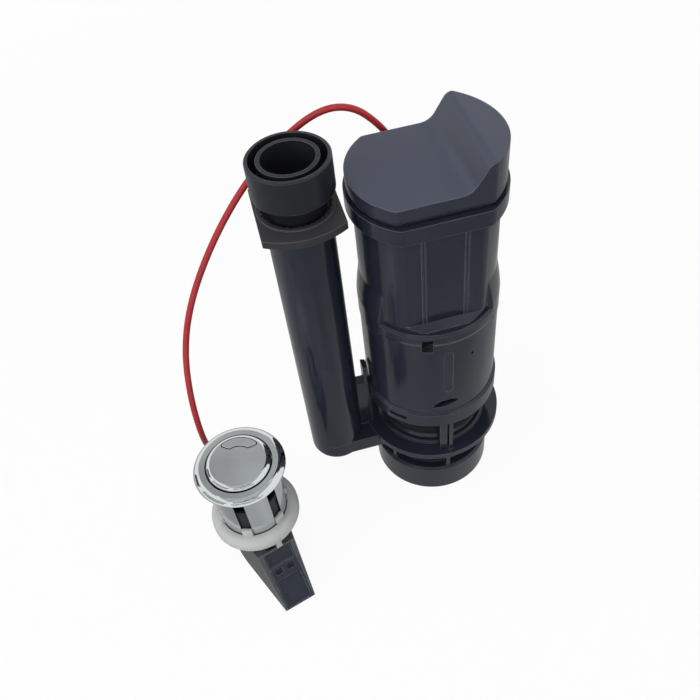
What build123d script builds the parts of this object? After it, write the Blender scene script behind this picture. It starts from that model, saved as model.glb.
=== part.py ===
from build123d import *
from math import asin, cos, degrees, pi, radians, sin, tan
import os

os.makedirs("parts", exist_ok=True)

# Cable-operated flush valve for a cistern, with its dual push button on the far end of the cable.
# The origin is on the valve's axis at the bottom of the outlet, with +Z up, and the overflow pipe at -X.

# Clearances and walls
run_gap = 0.3          # between pieces that move past each other
snap_gap = 0.15        # between fixed mouldings that clip together
pin_fit = 0.05         # radial play of a pin in its bore
wall = 2.2             # wall of the mouldings

# Valve base
outlet_bore_r = 27.0
outlet_bore_length = 30.0
seat_bore_r = 26.5
outlet_wall = 3.5
ring_gap = 3.3         # hollow between the outlet tube and the ring
ring_height = 22.0
ring_chamfer = 1.5
ring_wall = 3.0
flange_step = 2.9      # flange outside the collar's band
flange_top = 48.0
flange_thickness = 4.0
seat_top = 54.0
seat_step = 3.5        # seat's foot outside the outlet tube
seat_step_height = 2.0
seat_step_round = 1.6
rib_count = 6
rib_angle = -89.0
rib_thickness = 2.4
leg_count = 3

# Overflow
pipe_gap = 3.2         # between the lock plate and the body's rim
pipe_r = 16.64
pipe_bore_r = 14.6
pipe_bottom = 32.2
pipe_top = 223.0
pipe_heel_r = 4.0
bridge_width = 31.0
bridge_height = 13.8
latch_width = 7.0
latch_rise = 15.0
latch_wall = 2.0
latch_hook = 0.9
plate_half_width = 20.2
plate_thickness = 4.0
plate_front = 26.0
plate_arc_r = 37.0
tooth_ring_r = 19.2
tooth_ring_height = 0.7
tooth_hole_r = 16.8
tooth_width = 1.4
tooth_count = 36
seal_ring_lip = 0.8
seal_ring_height = 1.8
extension_bore_r = 12.75
extension_length = 104.0
extension_rise = 27.5
skirt_r = 20.0
skirt_height = 17.5
skirt_wall = 1.8
trough_depth = 13.0

# Body
housing_r = 36.58
collar_step = 2.02     # collar outside the housing
collar_wall = 2.3
collar_bottom = 75.0
collar_top = 154.0
band_step = 1.4        # band outside the collar
band_height = 11.0
shoulder_step = 0.6    # shoulder outside the collar
shoulder_height = 8.0
leg_width = 4.5
leg_lag = 6.5
leg_foot = 3.0
catch_drop = 8.0       # windows below the collar's top or above its bands
catch_width = 6.0
catch_height = 10.0
drain_drop = 23.0
drain_r = 1.2
slit_rise = 5.5
slit_half = 8.2
slit_height = 3.5
vent_rise = 5.0
vent_length = 12.0
vent_height = 3.2
panel_length = 34.0
panel_width = 5.0
shelf_thickness = 3.0
flat_depth = 6.08      # flats inside the housing's round
flare = 4.1            # flats flare out by this above the collar
flare_height = 3.2
housing_skirt = 14.0
housing_corner_r = 6.0
line_spacing = 22.0    # raised double lines on the flats
line_pair = 1.8
line_width = 0.7
line_rise = 0.45
rim_step = 3.52        # rim outside the housing
rim_flat_step = 3.0
rim_height = 9.0
rim_top = 225.0
tongue_half_width = 24.3
tongue_turn = -7.5
tongue_bottom = 143.0
tongue_top = 174.0
tongue_step = 0.4      # tongues outside the collar
tongue_corner_r = 6.0
cap_step = 1.4         # lid inside the rim
cap_flat_step = 2.5
cap_corner_r = 4.0
cap_groove = 2.5
cap_top = 235.0
cap_spigot = 6.0
grip_foot_x = 12.1
grip_foot_r = 9.0
grip_crest_x = 21.0
grip_crest_r = 5.5
grip_rise = 14.3
grip_fall = 1.8

# Valve works
rod_r = 4.0
rod_bottom = 47.0
seal_thickness = 3.0
seal_r = 31.0
seal_hole_r = 9.0
seal_plate_thickness = 3.0
seal_boss = 12.0
retainer_r = 24.0
retainer_thickness = 4.0
retainer_fin_depth = 14.0
hub_bottom = 108.0
hub_thickness = 5.0
hub_r = 7.5
float_gap = 1.3        # main float inside the housing's flats
main_float_bottom = 116.0
main_float_height = 30.0
ledge_top = 152.0
half_float_height = 8.6
lift_pivot_inset = 5.3 # lift lever's pin inside the front flat
lift_pivot_z = 176.0
lift_bar = 3.4
lift_nose_r = 2.8
lift_width = 17.0
lift_hub_wall = 2.2
lift_slot_length = 16.0
lift_fork = 13.0       # fork past the rod's axis
lift_tail_root = 10.0
lift_tail_width = 7.0
lift_tail_past = 3.5   # tail past the wire
lift_cut = 30.0        # height of the cuts through the lever
head_r = 7.5
head_thickness = 3.0

# Cable
cable_r = 1.75
wire_r = 0.75
wire_bore_r = 1.0
ferrule_r = 3.0
wire_x = -5.0
wire_step = 6.0        # wire behind the housing's flat
valve_ferrule_top = 212.0
valve_ferrule_length = 25.0
nipple_r = 2.2
nipple_length = 4.4

# Push button, on a vertical axis of its own and turned about it
button_x = -124.0
button_y = -46.9
button_turn = 16.0
bezel_r = 25.7
bezel_top = 101.3
bezel_thickness = 3.6
bezel_flat_r = 21.9
button_hole_r = 18.4
barrel_r = 19.5
barrel_bottom = 41.0
neck_r = 16.9
core_seat = 50.5
core_seat_r = 13.6
core_top = 78.0
slot_width = 6.4
slot_bottom = 52.0
slot_top = 95.0
slot_count = 6
slot_angle = -124.0
button_top = 103.7
button_edge_r = 15.6
button_edge_drop = 2.6
button_plate = 2.4
button_skirt_bottom = 90.4
button_wall = 1.6
kidney_angle = 61.0
kidney_outer = 14.8
kidney_half_length = 10.5
kidney_tip = 10.2
kidney_lobe = 5.1
kidney_inner = 8.0
kidney_notch = 9.6
kidney_gap = 0.45
kidney_flange = 0.9
small_stem_at = 11.0
small_stem_r = 2.0
small_stem_bottom = 57.5
carrier_thickness = 3.0
stem_r = 3.2
nut_flat = 1.8         # flat round the barrel on the nut's top
nut_bottom = 47.2
nut_thickness = 8.2
nut_round = 4.5
nut_chamfer = 1.0
nut_tab_height = 6.2
prong_inset = 3.6
prong_thickness = 2.0
prong_width = 3.6
prong_length = 7.8
prong_angle = -84.0

# Lever housing under the button, in the button's own frame: local -Y is its front
housing_top = 39.0
socket_top = 46.8
front_top = -23.6
front_tip = -45.2
heel_r = 9.0
tip_r = 1.5
tip_width = 19.5
side_splay = 9.0
side_draft = 1.7
cover_thickness = 2.2
cover_lip = 0.7
cover_panel = 10.0
cover_sink = 1.2
clip_block = 9.5
clip_rise = 0.9
clip_pocket = 4.8
lever_pivot_y = -14.5
lever_pivot_z = 37.0
lever_reach = 14.5
lever_drop = 24.0
lever_half_swing = 16.0
lever_thickness = 8.0
lever_hub_r = 3.2
lever_nose_r = 2.5
lever_arm = 6.0
lever_play = 1.5       # beside the lever in the socket's floor
lever_way = 3.0        # before and behind it
hub_play = 0.7
hub_head = 2.5
pin_boss_width = 7.0
pin_boss_wall = 2.0
pin_boss_drop = 1.0
pin_boss_inset = 6.0
pin_r = 1.5
actuator_ferrule_length = 18.0
actuator_ferrule_inside = 5.0
cable_lead_length = 15.0

# Worked out from the sizes above
press = 2 * lever_reach * sin(radians(lever_half_swing))
pull = 2 * lever_drop * sin(radians(lever_half_swing))
housing_flat = housing_r - flat_depth
flat_bore = housing_flat - wall
lift_pivot_y = lift_pivot_inset - flat_bore
wire_y = housing_flat + wire_step
wire_arm = wire_y - lift_pivot_y
lift_half_swing = degrees(asin(pull / 2 / wire_arm))
lift_reach = -lift_pivot_y
lift = 2 * lift_reach * sin(radians(lift_half_swing))
main_float_r = flat_bore - float_gap
collar_r = housing_r + collar_step
band_r = collar_r + band_step
shoulder_r = collar_r + shoulder_step
tongue_r = collar_r + tongue_step
flange_r = band_r + flange_step
rim_r = housing_r + rim_step
rim_flat = housing_flat + rim_flat_step
cap_r = rim_r - cap_step
cap_flat = rim_flat - cap_flat_step
pipe_x = -(rim_r + pipe_gap + plate_half_width)
flange_bottom = flange_top - flange_thickness
outlet_tube_r = outlet_bore_r + outlet_wall
ring_r = outlet_tube_r + ring_gap + ring_wall
seat_step_r = outlet_tube_r + seat_step
collar_bore_r = collar_r - collar_wall
skirt_seat = collar_top - housing_skirt
skirt_bore_r = housing_r + snap_gap
band_top = collar_bottom + band_height
rim_bottom = rim_top - rim_height
housing_bore_r = housing_r - wall
extension_r = pipe_bore_r - run_gap
plate_top = pipe_top + plate_thickness
extension_rim = plate_top + extension_rise
skirt_bottom = extension_rim - skirt_height
trough_floor = extension_rim - trough_depth
seal_bottom = seat_top + run_gap
seal_top = seal_bottom + seal_thickness
seal_plate_top = seal_top + seal_plate_thickness
nut_r = barrel_r + run_gap + nut_flat + nut_round
prong_r = nut_r - prong_inset
nut_top = nut_bottom + nut_thickness
bezel_bottom = bezel_top - bezel_thickness
carrier_bottom = button_skirt_bottom - carrier_thickness
core_floor = core_seat + wall + 0.8
socket_r = neck_r + pin_fit + wall
housing_back = stem_r + 2 * run_gap + wall
actuator_ferrule_front = housing_back - actuator_ferrule_inside
actuator_ferrule_back = actuator_ferrule_front + actuator_ferrule_length
nut_travel = slot_top - run_gap - nut_top - nut_tab_height
print(f"press {press:.2f}  pull {pull:.2f}  lift {lift:.2f}  lever {2 * lever_half_swing:.1f} deg")
print(f"lift lever {2 * lift_half_swing:.2f} deg  nut travel {nut_travel:.1f}")


def level(height):
    """Horizontal plane at a height."""
    return Plane.XY.offset(height)


def facing(angle, radius, height):
    """Upright plane that faces away from the valve's axis at an angle."""
    turn = radians(angle)
    out = (cos(turn), sin(turn), 0)
    origin = (radius * cos(turn), radius * sin(turn), height)
    return Plane(origin=origin, x_dir=(-sin(turn), cos(turn), 0), z_dir=out)


def flatted(radius, flat, corner):
    """Sketch of a circle cut by two flats that face -Y and +Y, with rounded corners."""
    with BuildSketch() as outline:
        Circle(radius)
        Rectangle(2 * radius, 2 * flat, mode=Mode.INTERSECT)
        fillet(outline.vertices(), corner)
    return outline.sketch


def tongue_outline(clearance):
    """Sketch of a side tongue seen along X, open past its top."""
    low = tongue_bottom - clearance
    with BuildSketch() as outline:
        with Locations((0, (low + rim_top) / 2)):
            RectangleRounded(2 * (tongue_half_width + clearance), rim_top - low, tongue_corner_r)
    return outline.sketch


def tongue_plane():
    """Upright plane across the valve, turned to face the tongues."""
    return Plane.YZ.rotated((0, 0, tongue_turn))


def save(builder, name):
    """Label a finished piece and write it."""
    builder.part.label = name
    export_step(builder.part, f"parts/{name}.step")


# Overflow pipe, bridge and outlet: one moulding, as pieces that meet face to face
bridge_top = pipe_bottom + bridge_height
with BuildPart() as overflow_pipe:
    with BuildSketch(level(bridge_top)):
        with Locations((pipe_x, 0)):
            Circle(pipe_r)
            Circle(pipe_bore_r, mode=Mode.SUBTRACT)
    extrude(amount=pipe_top - bridge_top)
save(overflow_pipe, "overflow_pipe")

# Outlet: ring, tube with the overflow's window, and the valve base above it with flange and seat
duct_floor = pipe_bottom + wall + 0.6
duct_height = bridge_height - 2 * (wall + 0.6)
duct_top = duct_floor + duct_height
with BuildPart() as outlet:
    with BuildSketch(Plane.XZ):
        with BuildLine():
            Polyline(
                (outlet_bore_r, 0),
                (outlet_tube_r, 0),
                (outlet_tube_r, ring_height - ring_wall),
                (ring_r - ring_wall, ring_height - ring_wall),
                (ring_r - ring_wall, 0),
                (ring_r, 0),
                (ring_r, ring_height - ring_chamfer),
                (ring_r - ring_chamfer, ring_height),
                (outlet_tube_r, ring_height),
                (outlet_tube_r, flange_bottom),
                (flange_r, flange_bottom),
                (flange_r, flange_top),
                (seat_step_r, flange_top),
                (seat_step_r, flange_top + seat_step_height),
                (outlet_tube_r, flange_top + seat_step_height),
                (seat_bore_r + outlet_wall / 2, seat_top),
                (seat_bore_r, seat_top),
                (seat_bore_r, outlet_bore_length),
                (outlet_bore_r, outlet_bore_length),
                close=True,
            )
        make_face()
    revolve(axis=Axis.Z)
    step_corner = (seat_step_r, 0, flange_top + seat_step_height)
    fillet(outlet.edges().filter_by(GeomType.CIRCLE).sort_by_distance(step_corner)[0], seat_step_round)
    # Gussets below the flange, and stops above it that the collar stands on
    with BuildSketch(level(ring_height)):
        with PolarLocations(outlet_tube_r - 0.5, rib_count, start_angle=rib_angle):
            Rectangle(
                ring_r - ring_chamfer - outlet_tube_r + 0.5, rib_thickness, align=(Align.MIN, Align.CENTER)
            )
    extrude(amount=flange_bottom - ring_height)
    with BuildSketch(level(flange_top)):
        with PolarLocations(collar_bore_r, leg_count, start_angle=rib_angle):
            Rectangle(band_r - collar_bore_r, rib_thickness, align=(Align.MIN, Align.CENTER))
    extrude(amount=collar_bottom - flange_top)
    # Holes in the flange for the collar's legs
    with BuildSketch(level(flange_bottom)):
        with PolarLocations(0, leg_count, start_angle=rib_angle - leg_lag):
            with Locations((collar_bore_r + collar_wall / 2 + 0.6, 0)):
                Rectangle(collar_wall + 2 * run_gap, leg_width + 2 * run_gap)
    extrude(amount=flange_thickness, mode=Mode.SUBTRACT)
    # Window in the outlet's wall where the bridge brings the overflow in
    with BuildSketch(Plane.YZ.offset(-ring_r)):
        with Locations((0, duct_floor + duct_height / 2)):
            Rectangle(bridge_width - 4 * wall, duct_height)
    extrude(amount=ring_r - seat_bore_r / 2, mode=Mode.SUBTRACT)
with BuildPart() as outlet_ring:
    add(outlet.part)
    split(bisect_by=level(duct_floor), keep=Keep.BOTTOM)
save(outlet_ring, "outlet_ring")
with BuildPart() as outlet_throat:
    add(outlet.part)
    split(bisect_by=level(duct_floor), keep=Keep.TOP)
    split(bisect_by=level(duct_top), keep=Keep.BOTTOM)
save(outlet_throat, "outlet_throat")
with BuildPart() as valve_base:
    add(outlet.part)
    split(bisect_by=level(duct_top), keep=Keep.TOP)
save(valve_base, "valve_base")

# Bridge: hollow elbow from the pipe's foot to the outlet, and the web with the bayonet's latch
latch_x = -(band_r + run_gap)
web_top = band_top + run_gap
with BuildPart() as overflow_bridge:
    with BuildSketch(level(pipe_bottom)):
        with Locations((pipe_x, 0)):
            Circle(pipe_r)
        with Locations((pipe_x, 0)):
            Rectangle(-pipe_x - seat_bore_r / 2, bridge_width, align=(Align.MIN, Align.CENTER))
    extrude(amount=bridge_height)
    fillet(overflow_bridge.edges().group_by(Axis.Z)[0], pipe_heel_r)
    with BuildSketch(Plane.XZ):
        with BuildLine():
            Polyline(
                (pipe_x + pipe_bore_r + 0.5, bridge_top - 1),
                (latch_x, bridge_top - 1),
                (latch_x, web_top + latch_rise - 2 * latch_wall),
                (latch_x + latch_hook, web_top + latch_rise - 2.5),
                (latch_x + latch_hook, web_top + latch_rise - 1),
                (latch_x - latch_wall, web_top + latch_rise),
                (latch_x - latch_wall, web_top),
                (pipe_x + pipe_bore_r + 0.5, web_top),
                close=True,
            )
        make_face()
    extrude(amount=latch_width / 2, both=True)
    with BuildSketch(level(duct_floor)):
        with Locations((pipe_x, 0)):
            Circle(pipe_bore_r)
    extrude(amount=pipe_top, mode=Mode.SUBTRACT)
    with BuildSketch(Plane.YZ.offset(pipe_x)):
        with Locations((0, duct_floor + duct_height / 2)):
            Rectangle(bridge_width - 4 * wall, duct_height)
    extrude(amount=-pipe_x, mode=Mode.SUBTRACT)
    with BuildSketch():
        Circle(outlet_tube_r)
    extrude(amount=seat_top, mode=Mode.SUBTRACT)
    add(outlet.part, mode=Mode.SUBTRACT)
    add(overflow_pipe.part, mode=Mode.SUBTRACT)
save(overflow_bridge, "overflow_bridge")

# Lower collar: round body that stands on the stops and turns into the flange by its legs
with BuildPart() as lower_collar:
    with BuildSketch(Plane.XZ):
        with BuildLine():
            Polyline(
                (collar_bore_r, collar_bottom),
                (band_r, collar_bottom),
                (band_r, band_top - 1),
                (collar_r, band_top),
                (collar_r, collar_top - shoulder_height),
                (shoulder_r, collar_top - shoulder_height + 2),
                (shoulder_r, collar_top - 1.5),
                (shoulder_r - 1.2, collar_top),
                (skirt_bore_r, collar_top),
                (skirt_bore_r, skirt_seat),
                (collar_bore_r, skirt_seat),
                close=True,
            )
        make_face()
    revolve(axis=Axis.Z)
    # Shelves that fill the space outside the flats
    with BuildSketch(level(collar_top - shelf_thickness)):
        Circle(skirt_bore_r + 0.5)
        Rectangle(2 * collar_r, 2 * (housing_flat + flare + snap_gap), mode=Mode.SUBTRACT)
    extrude(amount=shelf_thickness)
    # Hub that guides the lift rod, on three arms
    with BuildSketch(level(hub_bottom)):
        Circle(hub_r)
        with PolarLocations(0, 3, start_angle=30):
            Rectangle(collar_bore_r + 0.5, 4, align=(Align.MIN, Align.CENTER))
        Circle(rod_r + run_gap, mode=Mode.SUBTRACT)
    extrude(amount=hub_thickness)
    # Bayonet legs through the flange, each with a foot under it
    with BuildSketch(level(flange_bottom - leg_foot)):
        with PolarLocations(0, leg_count, start_angle=rib_angle - leg_lag):
            with Locations((collar_bore_r + collar_wall / 2 + 0.6, 0)):
                Rectangle(collar_wall, leg_width)
    extrude(amount=collar_bottom - flange_bottom + leg_foot)
    with BuildSketch(level(flange_bottom - leg_foot)):
        with PolarLocations(0, leg_count, start_angle=rib_angle - leg_lag):
            with Locations((collar_bore_r + collar_wall / 2 + 0.6, -leg_width / 2)):
                Rectangle(collar_wall, 2 * leg_foot)
    extrude(amount=leg_foot)
    # Windows, the same on the front and on the back
    inside = collar_r / 2
    for half_turn in (0, 180):
        with BuildSketch(facing(-108 + half_turn, inside, collar_top - catch_drop)):
            Rectangle(catch_width, catch_height)
        with BuildSketch(facing(-69.3 + half_turn, inside, collar_top - drain_drop)):
            Circle(drain_r)
        with BuildSketch(facing(-92.8 + half_turn, inside, band_top + slit_rise)):
            slit_low, slit_high = (-slit_half, 0), (slit_half, slit_height)
            with BuildLine():
                ThreePointArc(slit_high, (-0.12 * slit_half, 1.7 * slit_height), slit_low)
                ThreePointArc(slit_low, (0.12 * slit_half, 0.23 * slit_height), slit_high)
            make_face()
        with BuildSketch(facing(-136 + half_turn, inside, collar_bottom + vent_rise)):
            Rectangle(vent_length, vent_height)
        extrude(amount=collar_r, mode=Mode.SUBTRACT)
        with BuildSketch(facing(-91 + half_turn, collar_r - 0.5, (band_top + collar_top) / 2 + 2)):
            SlotOverall(panel_length, panel_width, rotation=90)
        extrude(amount=band_r - collar_r, mode=Mode.SUBTRACT)
    # Notches for the side tongues of the upper housing
    with BuildSketch(tongue_plane()):
        add(tongue_outline(snap_gap))
    extrude(amount=2 * collar_r, both=True, mode=Mode.SUBTRACT)
save(lower_collar, "lower_collar")

# Upper housing: flat-sided body that stands in the collar, with a rim band and two side tongues
lift_end_z = lift_pivot_z - wire_arm * tan(radians(lift_half_swing))
boss_height = 12.0
boss_bottom = valve_ferrule_top - boss_height - 4
with BuildPart() as upper_housing:
    with BuildSketch(level(skirt_seat)):
        add(flatted(housing_r, housing_flat, housing_corner_r))
    extrude(amount=rim_bottom - skirt_seat)
    with BuildSketch(level(rim_bottom)):
        add(flatted(rim_r, rim_flat, housing_corner_r))
    extrude(amount=rim_height)
    # Flats flare out just above the collar
    with BuildPart(mode=Mode.PRIVATE) as flares:
        for side in (1, -1):
            with BuildSketch(Plane.YZ):
                with BuildLine():
                    Polyline(
                        (side * (housing_flat - 1), collar_top),
                        (side * (housing_flat + flare), collar_top),
                        (side * housing_flat, collar_top + flare_height),
                        (side * (housing_flat - 1), collar_top + flare_height),
                        close=True,
                    )
                make_face()
            extrude(amount=housing_r, both=True)
        with BuildSketch(level(collar_top)):
            Circle(housing_r)
        extrude(amount=flare_height, mode=Mode.INTERSECT)
    add(flares.part)
    # Raised double lines down both flats
    with BuildSketch(level(collar_top)):
        with GridLocations(line_spacing, 2 * housing_flat, 2, 2):
            with GridLocations(line_pair, 0, 2, 1):
                Rectangle(line_width, 2 * line_rise)
    extrude(amount=rim_bottom - collar_top)
    # Side tongues that flare out to the collar's face
    with BuildPart(mode=Mode.PRIVATE) as tongues:
        with BuildSketch(Plane.XZ):
            with BuildLine():
                Polyline(
                    (housing_r - 1, tongue_bottom),
                    (tongue_r, tongue_bottom),
                    (tongue_r, collar_top + 3),
                    (tongue_r - 0.7, collar_top + 9),
                    (housing_r, tongue_top),
                    (housing_r - 1, tongue_top),
                    close=True,
                )
            make_face()
        revolve(axis=Axis.Z)
        with BuildSketch(tongue_plane()):
            add(tongue_outline(0))
        extrude(amount=2 * collar_r, both=True, mode=Mode.INTERSECT)
    add(tongues.part)
    # Boss on the back that holds the cable's ferrule
    with BuildSketch(level(boss_bottom)):
        with Locations((wire_x, housing_flat - 0.5)):
            Rectangle(11, wire_y - housing_flat + 5, align=(Align.CENTER, Align.MIN))
    extrude(amount=boss_height)
    with BuildSketch(level(boss_bottom)):
        with Locations((wire_x, wire_y)):
            Circle(ferrule_r + pin_fit)
    extrude(amount=boss_height, mode=Mode.SUBTRACT)
    # Inside, with ledges for the half-flush float and ears for the lift lever's pin
    with BuildSketch(level(skirt_seat)):
        add(flatted(housing_bore_r, flat_bore, housing_corner_r - wall))
    extrude(amount=rim_top - skirt_seat, mode=Mode.SUBTRACT)
    with BuildSketch(level(ledge_top - 3)):
        Circle(housing_bore_r + 0.5)
        Circle(main_float_r + 3, mode=Mode.SUBTRACT)
        Rectangle(3 * housing_r, 2 * flat_bore, mode=Mode.INTERSECT)
    extrude(amount=3)
    ear_out = lift_width / 2 + 3.5
    ear_in = lift_width / 2 + 0.5
    with BuildSketch(level(lift_pivot_z - 4)):
        ear_middle = (ear_in + ear_out) / 2
        with Locations((ear_middle, -flat_bore - 0.5), (-ear_middle, -flat_bore - 0.5)):
            Rectangle(ear_out - ear_in, lift_pivot_y + flat_bore + 4.5, align=(Align.CENTER, Align.MIN))
    extrude(amount=8)
    with BuildSketch(Plane.YZ):
        with Locations((lift_pivot_y, lift_pivot_z)):
            Circle(pin_r + pin_fit)
    extrude(amount=ear_out, both=True, mode=Mode.SUBTRACT)
    # Slot in the back flat for the lever's tail
    slot_low = lift_end_z - 4
    slot_high = 2 * lift_pivot_z - lift_end_z + 4
    with BuildSketch(Plane.XZ.offset(-housing_flat + wall + 1)):
        with Locations((wire_x, (slot_low + slot_high) / 2)):
            Rectangle(8.5, slot_high - slot_low)
    extrude(amount=-wall - 3, mode=Mode.SUBTRACT)
save(upper_housing, "upper_housing")

# Top cap: hollow lid with a raised finger grip
cap_wall = 2.5


def cap_form(inset):
    """Solid of the lid above its groove, drawn in by an inset all round."""
    low = rim_top + cap_groove + inset
    high = cap_top - inset
    far = cap_r + 9
    foot = (grip_foot_x + 0.55 * inset, high)
    crest = (grip_crest_x + 0.9 * inset, cap_top + grip_rise - inset)
    edge = (far, cap_top + grip_rise - grip_fall - inset)
    with BuildPart() as form:
        with BuildSketch(Plane.XZ) as side:
            with BuildLine():
                Polyline(foot, (-far, high), (-far, low), (far, low), edge, crest, close=True)
            make_face()
            fillet(side.vertices().sort_by_distance(foot)[0], grip_foot_r + inset)
            fillet(side.vertices().sort_by_distance(crest)[0], grip_crest_r - inset)
        extrude(amount=2 * cap_flat, both=True)
        with BuildSketch():
            add(flatted(cap_r - inset, cap_flat - inset, cap_corner_r))
        extrude(amount=cap_top + 2 * grip_rise, mode=Mode.INTERSECT)
    return form.part


with BuildPart() as top_cap:
    add(cap_form(0))
    with BuildSketch(level(rim_top)):
        add(flatted(cap_r - 1.8, cap_flat - 1.8, cap_corner_r))
    extrude(amount=cap_groove)
    with BuildSketch(level(rim_top - cap_spigot)):
        add(flatted(housing_bore_r - snap_gap, flat_bore - snap_gap, cap_corner_r))
    extrude(amount=cap_spigot)
    add(cap_form(cap_wall), mode=Mode.SUBTRACT)
    with BuildSketch(level(rim_top - cap_spigot)):
        add(flatted(housing_bore_r - snap_gap - 2, flat_bore - snap_gap - 2, cap_corner_r))
    extrude(amount=cap_spigot + cap_groove + cap_wall, mode=Mode.SUBTRACT)
save(top_cap, "top_cap")

# Overflow: lock plate on the pipe's end, seal ring and sliding extension
seal_seat_r = pipe_bore_r + 1.6
with BuildPart() as overflow_lock_plate:
    with BuildSketch(level(pipe_top)):
        with Locations((pipe_x, 0)):
            Rectangle(2 * plate_half_width, 2 * plate_front)
        with Locations((pipe_x, plate_arc_r - plate_front)):
            Circle(plate_arc_r, mode=Mode.INTERSECT)
        with Locations((pipe_x, plate_front - plate_arc_r)):
            Circle(plate_arc_r, mode=Mode.INTERSECT)
    extrude(amount=plate_thickness)
    with BuildSketch(level(plate_top)):
        with Locations((pipe_x, 0)):
            Circle(tooth_ring_r)
    extrude(amount=tooth_ring_height)
    # Bore, seat of the seal ring, and the toothed hole above it
    with BuildSketch(level(pipe_top)):
        with Locations((pipe_x, 0)):
            Circle(pipe_bore_r)
    extrude(amount=seal_ring_lip, mode=Mode.SUBTRACT)
    with BuildSketch(level(pipe_top + seal_ring_lip)):
        with Locations((pipe_x, 0)):
            Circle(seal_seat_r)
    extrude(amount=seal_ring_height, mode=Mode.SUBTRACT)
    with BuildSketch(level(pipe_top + seal_ring_lip + seal_ring_height)):
        with Locations((pipe_x, 0)):
            Circle(tooth_hole_r)
            with PolarLocations(tooth_hole_r, tooth_count):
                Rectangle(tooth_width, tooth_width)
    extrude(amount=plate_thickness + tooth_ring_height, mode=Mode.SUBTRACT)
save(overflow_lock_plate, "overflow_lock_plate")

with BuildPart() as overflow_seal:
    with BuildSketch(level(pipe_top + seal_ring_lip)):
        with Locations((pipe_x, 0)):
            Circle(seal_seat_r - pin_fit)
            Circle(extension_r + 2 * pin_fit, mode=Mode.SUBTRACT)
    extrude(amount=seal_ring_height)
save(overflow_seal, "overflow_seal")

with BuildPart() as overflow_extension:
    with BuildSketch(Plane.XZ):
        with BuildLine():
            Polyline(
                (pipe_x + extension_bore_r, extension_rim - extension_length),
                (pipe_x + extension_r, extension_rim - extension_length),
                (pipe_x + extension_r, trough_floor - 2.5),
                (pipe_x + skirt_r - skirt_wall, trough_floor - 2.5),
                (pipe_x + skirt_r - skirt_wall, skirt_bottom),
                (pipe_x + skirt_r, skirt_bottom),
                (pipe_x + skirt_r, extension_rim - 0.6),
                (pipe_x + skirt_r - 0.6, extension_rim),
                (pipe_x + skirt_r - skirt_wall, extension_rim),
                (pipe_x + skirt_r - skirt_wall, trough_floor),
                (pipe_x + extension_r + 0.45, trough_floor),
                (pipe_x + extension_r + 0.45, extension_rim - 0.5),
                (pipe_x + extension_bore_r, extension_rim - 0.5),
                close=True,
            )
        make_face()
    revolve(axis=Axis((pipe_x, 0, 0), (0, 0, 1)))
save(overflow_extension, "overflow_extension")

# Valve works that lift together: rod, seal plate, seal, retainer and main float
lift_angle = radians(lift_half_swing)
nose_top = lift_pivot_z - lift_reach * sin(lift_angle) + lift_nose_r
head_bottom = nose_top + run_gap
with BuildPart() as lift_rod:
    with BuildSketch(level(rod_bottom)):
        Circle(rod_r)
    extrude(amount=head_bottom - rod_bottom)
    with BuildSketch(level(head_bottom)):
        Circle(head_r)
    extrude(amount=head_thickness)
save(lift_rod, "lift_rod")

with BuildPart() as seal_plate:
    with BuildSketch(level(seal_top)):
        Circle(seal_r)
    extrude(amount=seal_plate_thickness)
    with BuildSketch(level(seal_plate_top)):
        Circle(2 * rod_r)
        with PolarLocations(0, 6):
            Rectangle(seal_r - 3, 2, align=(Align.MIN, Align.CENTER))
    extrude(amount=3)
    with BuildSketch(level(seal_plate_top)):
        Circle(2 * rod_r)
    extrude(amount=seal_boss)
    with BuildSketch(level(seal_top)):
        Circle(rod_r + pin_fit)
    extrude(amount=seal_plate_thickness + seal_boss, mode=Mode.SUBTRACT)
save(seal_plate, "seal_plate")

with BuildPart() as flush_seal:
    with BuildSketch(level(seal_bottom)):
        Circle(seal_r)
        Circle(seal_hole_r, mode=Mode.SUBTRACT)
    extrude(amount=seal_thickness)
save(flush_seal, "flush_seal")

with BuildPart() as seal_retainer:
    with BuildSketch(level(seal_bottom - retainer_thickness)):
        Circle(retainer_r)
    extrude(amount=retainer_thickness)
    with BuildSketch(level(seal_bottom)):
        Circle(seal_hole_r - pin_fit)
    extrude(amount=seal_thickness)
    with BuildSketch(level(seal_bottom - retainer_thickness - retainer_fin_depth)):
        with PolarLocations(0, 4, start_angle=45):
            Rectangle(retainer_r, 2, align=(Align.MIN, Align.CENTER))
        Circle(2 * rod_r)
    extrude(amount=retainer_fin_depth)
    with BuildSketch(level(seal_bottom - retainer_thickness - retainer_fin_depth)):
        Circle(rod_r + pin_fit)
    extrude(amount=retainer_thickness + retainer_fin_depth + seal_thickness, mode=Mode.SUBTRACT)
save(seal_retainer, "seal_retainer")

with BuildPart() as main_float:
    with BuildSketch(level(main_float_bottom)):
        Circle(main_float_r)
    extrude(amount=main_float_height)
    with BuildSketch(level(main_float_bottom)):
        Circle(main_float_r - wall)
        Circle(1.6 * rod_r, mode=Mode.SUBTRACT)
    extrude(amount=main_float_height - wall, mode=Mode.SUBTRACT)
    with BuildSketch(level(main_float_bottom)):
        Circle(rod_r + pin_fit)
    extrude(amount=main_float_height, mode=Mode.SUBTRACT)
save(main_float, "main_float")

with BuildPart() as half_flush_float:
    with BuildSketch(level(ledge_top + run_gap)):
        Circle(housing_bore_r - 1.5)
        Rectangle(3 * housing_r, 2 * (flat_bore - 1.5), mode=Mode.INTERSECT)
        Circle(rod_r + run_gap, mode=Mode.SUBTRACT)
    extrude(amount=half_float_height)
    with BuildSketch(level(ledge_top + run_gap)):
        Circle(main_float_r - 1)
        Circle(3 * rod_r, mode=Mode.SUBTRACT)
    extrude(amount=half_float_height - wall, mode=Mode.SUBTRACT)
save(half_flush_float, "half_flush_float")

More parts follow.
